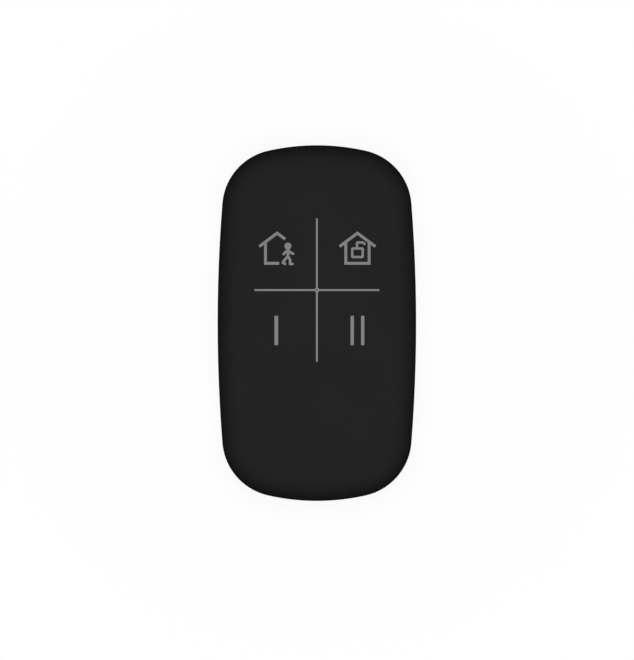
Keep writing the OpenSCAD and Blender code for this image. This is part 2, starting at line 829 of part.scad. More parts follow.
// Stroke with round ends.
module limb(a, b, w) {
    turn = atan2(b.y - a.y, b.x - a.x);
    polygon([
        for (t = [90 : 30 : 270]) a + w / 2 * [cos(turn + t), sin(turn + t)],
        for (t = [-90 : 30 : 90]) b + w / 2 * [cos(turn + t), sin(turn + t)]
    ]);
}

// Strokes through a line of points, each with round ends.
module limbs(points, w) {
    for (i = [0 : len(points) - 2]) limb(points[i], points[i + 1], w);
}

// House of the upper keys, about its key's centre: ridge, eaves, walls and floor.
house_ridge = [0, 27.7] * grid_pitch;
house_eave = [30, 22.4] * grid_pitch;
house_wall = 19.6 * grid_pitch;
house_floor = -23 * grid_pitch;

module house_wall_line(side) {
    x = side * house_wall;
    top = house_ridge.y - house_wall * house_eave.y / house_eave.x;
    bar([x, house_floor - house_stroke / 2], [x, top], house_stroke);
}

// Roof slope down one side, drawn over a share of its length and mitred at the ridge.
module house_roof(side, share) {
    down = [side * house_eave.x, -house_eave.y] / norm(house_eave);
    thick = [0, side * house_stroke / 2 / cos(atan2(house_eave.y, house_eave.x))];
    foot = house_ridge + [side * house_eave.x, -house_eave.y] * share;
    across = [-down.y, down.x] * house_stroke / 2;
    polygon([house_ridge + thick, house_ridge - thick, foot - across, foot + across]);
}

module house_floor_line(left, right) {
    bar([left, house_floor], [right, house_floor], house_stroke);
}

// Figure that walks out of the house: head, body, arms and legs, on the symbols' grid.
figure_head = [19.5, 6];
figure_head_r = 6 * grid_pitch;
figure_lines = [
    [[19.5, 0], [19.5, -10.5]],
    [[12.3, -7.5], [16.5, -2.7], [21, -2.2], [25.5, -6], [28.3, -6.7]],
    [[19.5, -10.5], [14, -17.5], [10.8, -21.7], [14.7, -24]],
    [[19.5, -10.5], [23.3, -17.5], [23, -24], [27.3, -24]]
];
figure_open = 3.5 * grid_pitch;
roof_open = 0.45;
away_shift = 1.4 * grid_pitch;

module print_away() {
    ink() at_key(AWAY) {
        translate([away_shift, 0]) {
            house_roof(-1, 1);
            house_roof(1, roof_open);
            house_wall_line(-1);
            house_floor_line(-house_wall - house_stroke / 2, figure_open);
        }
        translate(figure_head * grid_pitch) circle(figure_head_r, $fn = 12);
        for (line = figure_lines) limbs(line * grid_pitch, figure_stroke);
    }
}

// Open padlock in the house: a round-cornered frame and a shackle swung clear of it, on the symbols' grid.
lock_mid = [0, -5.2] * grid_pitch;
lock_size = [17.6, 14.4] * grid_pitch;
lock_shackle = [[-0.8, 2], [-0.8, 11.2], [0.4, 12.1], [8.9, 12.1], [11.8, 9.5]];

module lock_frame() {
    edge = [lock_stroke, lock_stroke];
    translate(lock_mid) difference() {
        rounded_rect(lock_size + edge, lock_corner_r);
        square(lock_size - edge, center = true);
    }
}

module print_disarm() {
    ink() at_key(DISARM) {
        for (side = [-1, 1]) {
            house_roof(side, 1);
            house_wall_line(side);
        }
        house_floor_line(-house_wall, house_wall);
        lock_frame();
        limbs(lock_shackle * grid_pitch, lock_stroke);
    }
}

module print_one() {
    ink() at_key(ONE) rounded_rect([bar_w, bar_l], bar_corner_r);
}

module print_two() {
    ink() at_key(TWO) for (side = [-1, 1])
        translate([side * bar_pitch / 2, 0]) rounded_rect([pair_w, bar_l], bar_corner_r);
}

// Lines that divide the keys, with a ring around the status light.
module print_cross() {
    ink() translate([0, keypad_y]) difference() {
        union() {
            square([2 * line_x, line_w], center = true);
            square([line_w, 2 * line_y], center = true);
            circle(dot_r);
        }
        circle(guide_tip_r + guide_gap);
    }
}

front_skin();
front_frame();
rear_shell();
key_pad(AWAY);  // pad_away
key_pad(DISARM);  // pad_disarm
key_pad(ONE);  // pad_one
key_pad(TWO);  // pad_two
key_plate(AWAY);  // plate_away
key_plate(DISARM);  // plate_disarm
key_plate(ONE);  // plate_one
key_plate(TWO);  // plate_two
switch_stem(AWAY);  // stem_away
switch_stem(DISARM);  // stem_disarm
switch_stem(ONE);  // stem_one
switch_stem(TWO);  // stem_two
switch_dome(AWAY);  // dome_away
switch_dome(DISARM);  // dome_disarm
switch_dome(ONE);  // dome_one
switch_dome(TWO);  // dome_two
switch_bases();
switch_covers();
switch_terminals();
circuit_board();
board_screws();
radio_chip();
crystal();
chip_capacitors();
antenna_track();
status_led();
light_guide();
coin_cell();
cell_holder();
negative_contact();
positive_contact();
battery_door();
door_seal();
print_cross();
print_away();
print_disarm();
print_one();
print_two();
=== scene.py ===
"""Looks of an alarm key fob: key face, snap domes, rear shell, battery door, finishes, light and camera."""

import json
import math

import bmesh
import bpy
from mathutils import Matrix, Vector


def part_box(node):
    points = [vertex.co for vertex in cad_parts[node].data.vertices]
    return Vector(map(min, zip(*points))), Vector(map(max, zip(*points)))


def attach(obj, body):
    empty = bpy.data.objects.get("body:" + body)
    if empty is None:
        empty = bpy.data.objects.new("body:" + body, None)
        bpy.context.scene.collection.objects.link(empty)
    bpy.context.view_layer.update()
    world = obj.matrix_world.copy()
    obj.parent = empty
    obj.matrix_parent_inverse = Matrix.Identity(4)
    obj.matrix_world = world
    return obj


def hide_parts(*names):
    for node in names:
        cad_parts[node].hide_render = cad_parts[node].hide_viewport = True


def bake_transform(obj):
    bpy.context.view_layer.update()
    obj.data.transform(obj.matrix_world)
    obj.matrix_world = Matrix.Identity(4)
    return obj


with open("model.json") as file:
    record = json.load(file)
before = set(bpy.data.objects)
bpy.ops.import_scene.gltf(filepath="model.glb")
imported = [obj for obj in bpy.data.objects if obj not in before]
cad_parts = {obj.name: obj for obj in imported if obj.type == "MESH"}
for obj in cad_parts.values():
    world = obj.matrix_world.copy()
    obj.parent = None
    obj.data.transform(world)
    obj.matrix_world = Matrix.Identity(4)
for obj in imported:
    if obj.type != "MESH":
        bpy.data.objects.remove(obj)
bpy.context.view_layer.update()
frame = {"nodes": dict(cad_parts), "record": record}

MM = 0.001
ACROSS = Vector((1, 0, 0))
UP = Vector((0, 0, 1))

# Outline arcs, rolled edges and walls, as the solids have them
SIDE_R = 255 * MM
END_R = 37.3 * MM
CORNER_R = 9.9 * MM
FACE_ROLL = 3.6 * MM
BACK_ROLL = 3 * MM
SKIN_T = 1 * MM
SHELL_T = 1.5 * MM
SEAM_GAP = 0.15 * MM

skin_low, skin_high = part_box("front_skin")
HALF_W, HALF_L, FACE_Z = skin_high
SKIN_FOOT = skin_low.z
SKIN_UNDER = FACE_Z - SKIN_T
PART_Z = SKIN_FOOT - SEAM_GAP

# Keys and what shows between them: the soft zones fill the openings of the skin, their middles rise by
# a hair, a snap dome lies under each, and the light guide ends in the face
KEYS = ("away", "disarm", "one", "two")
KEY_GAP = 0.15 * MM
KEY_CORNER_R = 3 * MM + KEY_GAP
KEY_BORDER = 0.15 * MM
KEY_SLOPE = 2.1 * MM
KEY_RISE = 0.03 * MM
DOME_T = 0.07 * MM
GUIDE_HOLE_R = 0.25 * MM

# Battery door and its seat
door_low, door_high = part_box("battery_door")
DOOR_AT = (door_low + door_high) / 2 * Vector((1, 1, 0))
DOOR_FACE = door_low.z
PLUG_TOP = door_high.z
RIM_R = (door_high.x - door_low.x) / 2
RIM_TOP = DOOR_FACE + 1 * MM
PLUG_R = RIM_R - 0.85 * MM
DOOR_GAP = 0.15 * MM
LUG_REACH = 0.75 * MM
LUG_T = 0.55 * MM
LUG_ANGLE = math.radians(24)
LUG_COUNT = 3
NOTCH_ANGLE = math.radians(30)
DOOR_TURN = math.radians(45)
SEAT_Z = RIM_TOP + 0.05 * MM
SEAT_TOP = SEAT_Z + 0.6 * MM
SEAT_WALL = 1.2 * MM
SLOT_HALF = Vector((7, 1.1)) * MM
SLOT_DEPTH = 1.2 * MM
SLOT_CORNER_R = 0.9 * MM
SLOT_FILLET = 0.25 * MM
GROOVE_HALF = 0.27 * MM
GROOVE_DEPTH = 0.52 * MM
MARK_R = 0.45 * MM
MARK_DEPTH = 0.25 * MM
MARK_IN = 0.5 * MM

# Lanyard passage from the back to the lower end
CORD_HOLE_R = 1.25 * MM
CORD_HOLE_Y = 4.4 * MM - HALF_L
CORD_HOLE_Z = 2.75 * MM
CORD_BEND_R = 1.3 * MM
CORD_FLARE = 0.5 * MM
CORD_LUG_W = 7 * MM
CORD_LUG_WALL = 0.5 * MM

# Snap tabs inside the rear shell, placed along the sides
TAB_PLACES = (13 * MM - HALF_L, HALF_L - 27 * MM, HALF_L - 11.5 * MM)
TAB_INSET = 2.35 * MM
TAB_W = 5 * MM
TAB_T = 0.9 * MM
TAB_TOP = 7.5 * MM
TAB_RIB_TOP = 3.85 * MM
NOSE_REACH = 0.45 * MM
NOSE_H = 0.8 * MM

# Small roundings, and how finely curves are divided
SEAM_ROUND = 0.2 * MM
MOUTH_ROUND = 0.15 * MM
DOOR_ROUND = 0.3 * MM
FLAT_RING = 0.15 * MM
SIDE_STEPS = 6
CORNER_STEPS = 18
END_STEPS = 10
ROLL_STEPS = 14
ROUND_STEPS = 4
KEY_STEPS = 10
DOME_STEPS = 12
CIRCLE_STEPS = 97
HOLE_STEPS = 48
LUG_STEPS = 8
SHARP = math.radians(32)

# Overshoot of a cutting shape, how far a joined shape sinks in, a hair that keeps faces from
# coinciding, and the distance under which heights count as equal
PAST = 1 * MM
BITE = 0.2 * MM
HAIR = 0.002 * MM
TOUCH = 1e-7

# Range in which most values of a noise lie
NOISE_LOW = 0.3
NOISE_HIGH = 0.7


class Wire:
    """Output of a shader node. Sums and products of it add Math nodes."""

    def __init__(self, finish, socket):
        self.finish = finish
        self.socket = socket

    def maths(self, operation, first, second):
        return self.finish.node("ShaderNodeMath", {"operation": operation}, {0: first, 1: second})

    def __add__(self, other):
        return self.maths("ADD", self, other)

    def __radd__(self, other):
        return self.maths("ADD", other, self)

    def __sub__(self, other):
        return self.maths("SUBTRACT", self, other)

    def __rsub__(self, other):
        return self.maths("SUBTRACT", other, self)

    def __mul__(self, other):
        return self.maths("MULTIPLY", self, other)

    def __rmul__(self, other):
        return self.maths("MULTIPLY", other, self)

    def __gt__(self, other):
        return self.maths("GREATER_THAN", self, other)

    def __lt__(self, other):
        return self.maths("LESS_THAN", self, other)


class Finish:
    """Node tree of a material or of the world."""

    def __init__(self, owner):
        owner.use_nodes = True
        self.owner = owner
        self.tree = owner.node_tree
        self.tree.nodes.clear()

    def node(self, kind, settings=None, sockets=None, out=0):
        """Adds a node, sets it up, fills or links its sockets, and gives one of its outputs."""
        made = self.tree.nodes.new(kind)
        for name, value in (settings or {}).items():
            setattr(made, name, value)
        for name, value in (sockets or {}).items():
            if isinstance(value, Wire):
                self.tree.links.new(value.socket, made.inputs[name])
            else:
                made.inputs[name].default_value = value
        if not made.outputs:
            return None
        return Wire(self, made.outputs[out])

    def place(self, stretch=(1, 1, 1), at=(0, 0, 0)):
        """Object coordinates, measured from a point and stretched along the axes."""
        found = self.node("ShaderNodeTexCoord", out="Object")
        moved = self.node("ShaderNodeVectorMath", {"operation": "SUBTRACT"}, {0: found, 1: at})
        return self.node("ShaderNodeVectorMath", {"operation": "MULTIPLY"}, {0: moved, 1: stretch})

    def axes(self, vector):
        """The three numbers of a vector."""
        split = self.node("ShaderNodeSeparateXYZ", sockets={0: vector}).socket.node
        return [Wire(self, output) for output in split.outputs]

    def around(self, at):
        """Distance from the upright axis through a point, and height above that point."""
        x, y, z = self.axes(self.place(at=at))
        return self.node("ShaderNodeMath", {"operation": "SQRT"}, {0: x * x + y * y}), z

    def noise(self, vector, size, detail=2.0, roughness=0.5):
        """Noise whose features are about as large as size, in metres."""
        return self.node(
            "ShaderNodeTexNoise",
            sockets={"Vector": vector, "Scale": 1 / size, "Detail": detail, "Roughness": roughness},
        )

    def mix(self, factor, first, second):
        """Colour between two colours."""
        return self.node("ShaderNodeMix", {"data_type": "RGBA"}, {0: factor, 6: first, 7: second}, out=2)

    def ramp(self, value, low, high):
        """Number that goes from 0 to 1 as value goes from low to high."""
        return self.node("ShaderNodeMapRange", {"clamp": True}, {0: value, 1: low, 2: high})

    def spread(self, noise):
        """Noise stretched to the whole range from 0 to 1."""
        return self.ramp(noise, NOISE_LOW, NOISE_HIGH)

    def bump(self, height, depth, strength=1.0):
        """Normal of a relief whose full height is depth, in metres."""
        return self.node(
            "ShaderNodeBump", sockets={"Height": height, "Distance": depth, "Strength": strength}
        )

    def surface(self, shader):
        self.node("ShaderNodeOutputMaterial", sockets={"Surface": shader})
        return self.owner

    def principled(self, sockets):
        return self.surface(self.node("ShaderNodeBsdfPrincipled", sockets=sockets))


def new_finish(name):
    return Finish(bpy.data.materials.new(name))


def grey(level):
    return (level, level, level, 1)


def soft_skin():
    """Soft-touch black of the key face: nearly no gloss, a fine grain and a faint cloudiness."""
    f = new_finish("soft_skin")
    grain = f.noise(f.place(), 0.11 * MM, 2)
    cloud = f.noise(f.place(), 14 * MM, 3)
    tone = f.spread(cloud * 0.7 + grain * 0.3)
    return f.principled({
        "Base Color": f.mix(tone, grey(0.0165), grey(0.0180)),
        "Roughness": 0.84 + 0.10 * grain - 0.06 * cloud,
        "Specular IOR Level": 0.001,
        "Normal": f.bump(grain, 0.006 * MM),
    })


def textured_plastic(name, dark, light):
    """Black moulded plastic with a spark-eroded texture."""
    f = new_finish(name)
    pits = f.noise(f.place(), 0.28 * MM, 3, 0.6)
    cloud = f.noise(f.place(), 9 * MM, 2)
    tone = f.spread(pits * 0.6 + cloud * 0.4)
    return f.principled({
        "Base Color": f.mix(tone, grey(dark), grey(light)),
        "Roughness": 0.58 + 0.2 * pits,
        "Specular IOR Level": 0.05,
        "Normal": f.bump(pits, 0.03 * MM, 0.8),
    })


def moulded_plastic(name, dark, light, shine):
    """Smooth moulded plastic with flow marks."""
    f = new_finish(name)
    flow = f.noise(f.place((1, 0.3, 1)), 2.5 * MM, 3)
    skin = f.noise(f.place(), 0.2 * MM, 2)
    return f.principled({
        "Base Color": f.mix(f.spread(flow), dark, light),
        "Roughness": shine + 0.12 * skin,
        "Specular IOR Level": 0.4,
        "Normal": f.bump(skin, 0.006 * MM),
    })


def metal(name, dark, light, shine, along=(1, 0.06, 1)):
    """Rolled or plated metal with fine drawn lines."""
    f = new_finish(name)
    lines = f.noise(f.place(along), 0.06 * MM, 3, 0.6)
    cloud = f.noise(f.place(), 1.8 * MM, 2)
    return f.principled({
        "Base Color": f.mix(f.spread(cloud), dark, light),
        "Metallic": 1.0,
        "Roughness": shine + 0.16 * lines,
        "Normal": f.bump(lines, 0.002 * MM),
    })


def cell_metal():
    """Coin cell: steel turned in fine rings, with the dark gasket between its can and its cap."""
    f = new_finish("cell_metal")
    low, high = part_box("coin_cell")
    middle = (low + high) / 2 * Vector((1, 1, 0))
    radius, z = f.around(middle)
    ring_w = 0.05 * MM
    rings = f.node("ShaderNodeTexNoise", {"noise_dimensions": "1D"}, {"W": radius, "Scale": 1 / ring_w})
    gasket_r = high.x - 1.15 * MM
    gasket_w = 0.4 * MM
    can_h = 2 * MM
    gasket = (radius > gasket_r) * (radius < gasket_r + gasket_w) * (z > low.z + can_h)
    steel = f.mix(f.spread(rings), grey(0.56), grey(0.66))
    return f.principled({
        "Base Color": f.mix(gasket, steel, grey(0.03)),
        "Metallic": 1 - gasket,
        "Roughness": 0.24 + 0.14 * rings + 0.3 * gasket,
        "Normal": f.bump(rings, 0.002 * MM),
    })


def board_green():
    """Solder mask over glass cloth, with the tracks under it showing through."""
    f = new_finish("board_green")
    cloth_w = 3 * MM
    cloth = f.node(
        "ShaderNodeTexWave", {"bands_direction": "DIAGONAL"}, {"Vector": f.place(), "Scale": 1 / cloth_w}
    )
    tracks = f.node(
        "ShaderNodeTexBrick",
        sockets={
            "Vector": f.place(), "Scale": 1 / MM, "Mortar Size": 0.12, "Mortar Smooth": 0.2,
            "Brick Width": 3.4, "Row Height": 0.9,
            "Color1": grey(0), "Color2": grey(0), "Mortar": grey(1),
        },
        out="Fac",
    )
    mask = f.mix(cloth, (0.010, 0.085, 0.032, 1), (0.013, 0.105, 0.040, 1))
    return f.principled({
        "Base Color": f.mix(tracks * 0.5, mask, (0.035, 0.22, 0.07, 1)),
        "Roughness": 0.28 + 0.1 * cloth,
        "Coat Weight": 0.4,
        "Coat Roughness": 0.15,
        "Normal": f.bump(tracks, 0.02 * MM),
    })


def capacitor_tan():
    """Fired ceramic blocks with tinned ends."""
    f = new_finish("capacitor_tan")
    pitch = 1.5 * MM
    length = 1 * MM
    tin_l = 0.24 * MM
    margin = 0.001 * MM
    x = f.axes(f.place(at=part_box("chip_capacitors")[0]))[0]
    along = f.node("ShaderNodeMath", {"operation": "MODULO"}, {0: x + margin, 1: pitch})
    tin = 1 - (along > tin_l) * (along < length - tin_l)
    fired = f.noise(f.place(), 0.08 * MM, 3)
    body = f.mix(fired, (0.24, 0.15, 0.08, 1), (0.36, 0.24, 0.14, 1))
    return f.principled({
        "Base Color": f.mix(tin, body, grey(0.62)),
        "Metallic": tin,
        "Roughness": 0.45 + 0.1 * fired - 0.1 * tin,
        "Normal": f.bump(fired, 0.004 * MM),
    })


def diode_white():
    """White package of the status diode with its yellow phosphor window."""
    f = new_finish("led_white")
    low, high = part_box("status_led")
    radius, z = f.around((low + high) / 2)
    window_r = 0.6 * MM
    window_z = 0.28 * MM
    window = (radius < window_r) * (z > window_z)
    grain = f.noise(f.place(), 0.05 * MM, 2)
    body = f.mix(grain, (0.78, 0.75, 0.64, 1), (0.88, 0.85, 0.74, 1))
    return f.principled({
        "Base Color": f.mix(window, body, (0.72, 0.58, 0.10, 1)),
        "Roughness": 0.4 + 0.1 * grain,
        "Normal": f.bump(grain, 0.002 * MM),
    })


def guide_acrylic():
    """Light guide: milky acrylic, with painted shade at the tip that ends in the key face, where its colour
    is painted a darker grey.
    """
    f = new_finish("clear_guide")
    z = f.axes(f.place())[2]
    # Painted shade: towards the key face the base colour goes to a darker grey, standing in for the dark
    # inside of the fob showing through the tip
    tip = f.ramp(z, SKIN_UNDER, FACE_Z)
    haze = f.noise(f.place(), 0.3 * MM, 2)
    clear = f.mix(haze, (0.62, 0.66, 0.68, 1), (0.72, 0.76, 0.78, 1))
    return f.principled({
        "Base Color": f.mix(tip, clear, grey(0.165)),
        "Roughness": 0.3 + 0.1 * haze + 0.5 * tip,
        "Specular IOR Level": 0.15,
        "Coat Weight": 0.3 * haze * (1 - tip),
    })


def seal_rubber():
    f = new_finish("seal_rubber")
    grain = f.noise(f.place(), 0.09 * MM, 3)
    return f.principled({
        "Base Color": f.mix(grain, grey(0.010), grey(0.018)),
        "Roughness": 0.45 + 0.2 * grain,
        "Normal": f.bump(grain, 0.004 * MM),
    })


def printed_ink():
    """Grey ink of the symbols and lines, slightly mottled by the screen."""
    f = new_finish("grey_ink")
    mottle = f.noise(f.place(), 0.25 * MM, 2)
    return f.principled({
        "Base Color": f.mix(f.spread(mottle), grey(0.198), grey(0.211)),
        "Roughness": 0.6 + 0.1 * mottle,
        "Specular IOR Level": 0.1,
        "Normal": f.bump(mottle, 0.004 * MM),
    })


finishes = {
    "soft_skin": soft_skin(),
    "shell_plastic": textured_plastic("shell_plastic", 0.011, 0.016),
    "frame_plastic": moulded_plastic("frame_plastic", grey(0.032), grey(0.045), 0.42),
    "stem_plastic": moulded_plastic("stem_plastic", (0.52, 0.49, 0.42, 1), (0.62, 0.59, 0.52, 1), 0.38),
    "moulded_black": moulded_plastic("moulded_black", grey(0.012), grey(0.019), 0.5),
    "spring_steel": metal("spring_steel", grey(0.55), grey(0.64), 0.2),
    "screw_steel": metal("screw_steel", (0.40, 0.41, 0.44, 1), (0.52, 0.52, 0.52, 1), 0.3, (1, 1, 1)),
    "copper": metal("copper", (0.66, 0.33, 0.18, 1), (0.76, 0.42, 0.24, 1), 0.28),
    "contact_gold": metal("contact_gold", (0.72, 0.54, 0.22, 1), (0.82, 0.65, 0.32, 1), 0.22),
    "cell_metal": cell_metal(),
    "board_green": board_green(),
    "capacitor_tan": capacitor_tan(),
    "led_white": diode_white(),
    "clear_guide": guide_acrylic(),
    "seal_rubber": seal_rubber(),
    "grey_ink": printed_ink(),
}


def bevel(bm, geom, radius, steps, affect="EDGES"):
    bmesh.ops.bevel(
        bm, geom=list(geom), offset=radius, offset_type="OFFSET", segments=steps, profile=0.5,
        affect=affect, material=-1, clamp_overlap=False,
    )


def outline(z, inset=0.0):
    """New mesh with the fob's outline: the arcs of one quarter, spun end to end and mirrored twice."""
    side = Vector((HALF_W - SIDE_R, 0, z))
    end = Vector((0, HALF_L - END_R, z))
    between = end - side
    gap = between.length
    along = between / gap
    foot = ((SIDE_R - CORNER_R) ** 2 - (END_R - CORNER_R) ** 2 + gap ** 2) / (2 * gap)
    off = math.sqrt((SIDE_R - CORNER_R) ** 2 - foot ** 2)
    corner = side + foot * along + off * UP.cross(along)
    side_turn = math.atan2(corner.y - side.y, corner.x - side.x)
    corner_turn = math.atan2(corner.y - end.y, corner.x - end.x) - side_turn
    end_turn = math.pi / 2 - corner_turn - side_turn
    bm = bmesh.new()
    tip = [bm.verts.new((HALF_W - inset, 0, z))]
    for centre, turn, steps in (
        (side, side_turn, SIDE_STEPS), (corner, corner_turn, CORNER_STEPS), (end, end_turn, END_STEPS)
    ):
        tip = bmesh.ops.spin(bm, geom=tip, cent=centre, axis=UP, angle=turn, steps=steps)["geom_last"]
    for axis in "XY":
        bmesh.ops.mirror(bm, geom=bm.verts[:] + bm.edges[:], axis=axis, merge_dist=TOUCH)
    bmesh.ops.remove_doubles(bm, verts=bm.verts[:], dist=TOUCH)
    return bm


def fill(bm):
    """Closes the mesh's only loop of edges with one face."""
    return bmesh.ops.contextual_create(bm, geom=bm.edges[:])["faces"][0]


def push(bm, face, way):
    """Extrudes a face, moves it and gives it back."""
    made = bmesh.ops.extrude_face_region(bm, geom=[face, *face.edges])["geom"]
    bmesh.ops.translate(bm, vec=way, verts=[g for g in made if isinstance(g, bmesh.types.BMVert)])
    return next(g for g in made if isinstance(g, bmesh.types.BMFace))


def taper(bm, face, way, scale):
    """Extrudes a face, moves it and scales it about its middle."""
    face = push(bm, face, way)
    middle = Matrix.Translation(-face.calc_center_median())
    bmesh.ops.scale(bm, vec=Vector((scale, scale, scale)), space=middle, verts=face.verts[:])
    return face


def face_at(bm, z):
    """The largest level face at a height."""
    level = [f for f in bm.faces if all(abs(v.co.z - z) < TOUCH for v in f.verts)]
    return max(level, key=lambda f: f.calc_area())


def inset(bm, face, width, rise=0.0):
    bmesh.ops.inset_region(
        bm, faces=[face], thickness=width, depth=rise, use_even_offset=True, use_boundary=True
    )


def arc_steps(radius):
    """Steps (in, along) of a quarter arc that starts straight inwards and ends straight along."""
    turns = [math.pi / 2 * step / ROUND_STEPS for step in range(ROUND_STEPS + 1)]
    return [
        (radius * (math.sin(b) - math.sin(a)), radius * (math.cos(a) - math.cos(b)))
        for a, b in zip(turns, turns[1:])
    ]


def sink(bm, face, lip, wall, fillet):
    """Goes on from a face along its normal: over a round lip, down a wall and round to a floor."""
    for width, rise in arc_steps(lip):
        inset(bm, face, width, rise)
    face = push(bm, face, face.normal * wall)
    for rise, width in arc_steps(fillet):
        inset(bm, face, width, rise)


def pebble(low, high, low_round, high_round):
    """Solid inside the outline, its lower and upper edges rolled by pairs of radius and steps."""
    bm = outline(low)
    push(bm, fill(bm), UP * (high - low))
    for z, (radius, steps) in ((low, low_round), (high, high_round)):
        bevel(bm, face_at(bm, z).edges, radius, steps)
    return bm


def hollow(bm, mouth, wall, floor, roll):
    """Sinks a pocket with a rolled floor edge into the level face at the mouth's height."""
    face = face_at(bm, mouth)
    inset(bm, face, wall)
    push(bm, face, UP * (floor - mouth))
    bevel(bm, face_at(bm, floor).edges, roll, ROLL_STEPS)


def rounded_block(low, high, radius, steps):
    """Upright block with round corners between two opposite corners."""
    bm = bmesh.new()
    middle = (low + high) / 2
    half = (high - low) / 2
    place = Matrix.Translation((middle.x, middle.y, low.z)) @ Matrix.Diagonal((half.x, half.y, 1, 1))
    corners = bmesh.ops.create_grid(bm, x_segments=1, y_segments=1, size=1, matrix=place)["verts"]
    bevel(bm, corners, radius, steps, "VERTICES")
    push(bm, bm.faces[:][0], UP * (high.z - low.z))
    return bm


def full_spin(bm, centre, steps):
    """Spins the whole mesh once round an upright axis and closes it."""
    bmesh.ops.spin(
        bm, geom=bm.verts[:] + bm.edges[:], cent=centre, axis=UP, angle=2 * math.pi, steps=steps,
        use_merge=True,
    )
    close(bm)


def turned(points, rounds=None):
    """Solid turned about the door's axis from points (radius, height), some of them rounded by a radius."""
    bm = bmesh.new()
    side = UP.orthogonal().normalized()
    verts = [bm.verts.new(DOOR_AT + side * r + UP * h) for r, h in points]
    for first, second in zip(verts, verts[1:]):
        bm.edges.new((first, second))
    for index, radius in (rounds or {}).items():
        bevel(bm, [verts[index]], radius, ROUND_STEPS, "VERTICES")
    full_spin(bm, DOOR_AT, CIRCLE_STEPS)
    return bm


def close(bm):
    """Merges doubles and turns the faces outwards."""
    bmesh.ops.remove_doubles(bm, verts=bm.verts[:], dist=TOUCH)
    bmesh.ops.dissolve_degenerate(bm, dist=TOUCH, edges=bm.edges[:])
    bmesh.ops.recalc_face_normals(bm, faces=bm.faces[:])


def new_object(bm, name):
    mesh = bpy.data.meshes.new(name)
    bm.to_mesh(mesh)
    bm.free()
    made = bpy.data.objects.new(name, mesh)
    bpy.context.scene.collection.objects.link(made)
    return made


def combine(piece, operation, tool_bm):
    """Joins a shape to a piece or cuts it out, and keeps the result as the piece's mesh."""
    tool = new_object(tool_bm, "tool")
    step = piece.modifiers.new("step", "BOOLEAN")
    step.operation = operation
    step.object = tool
    step.solver = "EXACT"
    joined = bmesh.new()
    joined.from_object(piece, bpy.context.evaluated_depsgraph_get())
    close(joined)
    joined.to_mesh(piece.data)
    joined.free()
    piece.modifiers.clear()
    bpy.data.objects.remove(tool)


def finish_piece(piece, slot, *nodes):
    """Smooth shading with crisp edges, the finish of a material slot, and the nodes it stands for."""
    mesh = piece.data
    mesh.shade_smooth()
    mesh.set_sharp_from_angle(angle=SHARP)
    mesh.materials.clear()
    mesh.materials.append(finishes[slot])
    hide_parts(*nodes)


def even_normals(piece):
    """Lets the large faces set the shading next to small roundings."""
    step = piece.modifiers.new("even_normals", "WEIGHTED_NORMAL")
    step.keep_sharp = True


def key_block(key, low, high):
    """Block that fills one key's opening between two heights."""
    corner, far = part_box("pad_" + key)
    margin = Vector((KEY_GAP, KEY_GAP, 0))
    corner = corner - margin
    far = far + margin
    corner.z = low
    far.z = high
    return rounded_block(corner, far, KEY_CORNER_R, KEY_STEPS)


def make_skin():
    """Soft skin: rolled over from the seam to the key face, open for the keys and the light guide."""
    bm = pebble(SKIN_FOOT, FACE_Z, (SEAM_ROUND, ROUND_STEPS), (FACE_ROLL, ROLL_STEPS))
    hollow(bm, SKIN_FOOT, SKIN_T - SEAM_ROUND, SKIN_UNDER, FACE_ROLL - SKIN_T)
    inset(bm, face_at(bm, FACE_Z), FLAT_RING)
    close(bm)
    skin = new_object(bm, "soft_face")
    for key in KEYS:
        combine(skin, "DIFFERENCE", key_block(key, SKIN_UNDER - PAST, FACE_Z + PAST))
    low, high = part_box("light_guide")
    guide = (low + high) / 2
    hole = bmesh.new()
    bmesh.ops.create_cone(
        hole, cap_ends=True, segments=HOLE_STEPS, radius1=GUIDE_HOLE_R, radius2=GUIDE_HOLE_R,
        depth=2 * (SKIN_T + PAST), matrix=Matrix.Translation((guide.x, guide.y, FACE_Z)),
    )
    combine(skin, "DIFFERENCE", hole)
    finish_piece(skin, "soft_skin", "front_skin")
    even_normals(skin)
    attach(skin, "housing")


def make_key(key):
    """Soft zone of the face over one key: a level border and a middle raised by a hair."""
    bm = key_block(key, SKIN_UNDER, FACE_Z)
    inset(bm, face_at(bm, FACE_Z), KEY_BORDER)
    top = face_at(bm, FACE_Z)
    reached = 0.0
    for step in range(1, KEY_STEPS + 1):
        share = step / KEY_STEPS
        rise = KEY_RISE * share * share * (3 - 2 * share)
        inset(bm, top, KEY_SLOPE / KEY_STEPS, rise - reached)
        reached = rise
    middle = top.calc_center_median()
    close(bm)
    piece = new_object(bm, "key_face_" + key)
    finish_piece(piece, "soft_skin", "pad_" + key)
    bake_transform(piece)


def make_dome(key):
    """Snap dome of one switch: a thin cap."""
    low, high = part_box("dome_" + key)
    rim = (high.x - low.x) / 2
    rise = high.z - low.z
    ball_r = (rim ** 2 + rise ** 2) / (2 * rise)
    crown = Vector(((low.x + high.x) / 2, (low.y + high.y) / 2, high.z))
    centre = crown - UP * ball_r
    bm = bmesh.new()
    ends = []
    for radius in (ball_r, ball_r - DOME_T):
        tip = bm.verts.new(centre + UP * radius)
        reach = math.acos((low.z - centre.z) / radius)
        ends += bmesh.ops.spin(
            bm, geom=[tip], cent=centre, axis=ACROSS, angle=reach, steps=DOME_STEPS
        )["geom_last"]
    bm.edges.new(ends)
    full_spin(bm, centre, HOLE_STEPS)
    piece = new_object(bm, "snap_dome_" + key)
    finish_piece(piece, "spring_steel", "dome_" + key)
    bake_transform(piece)


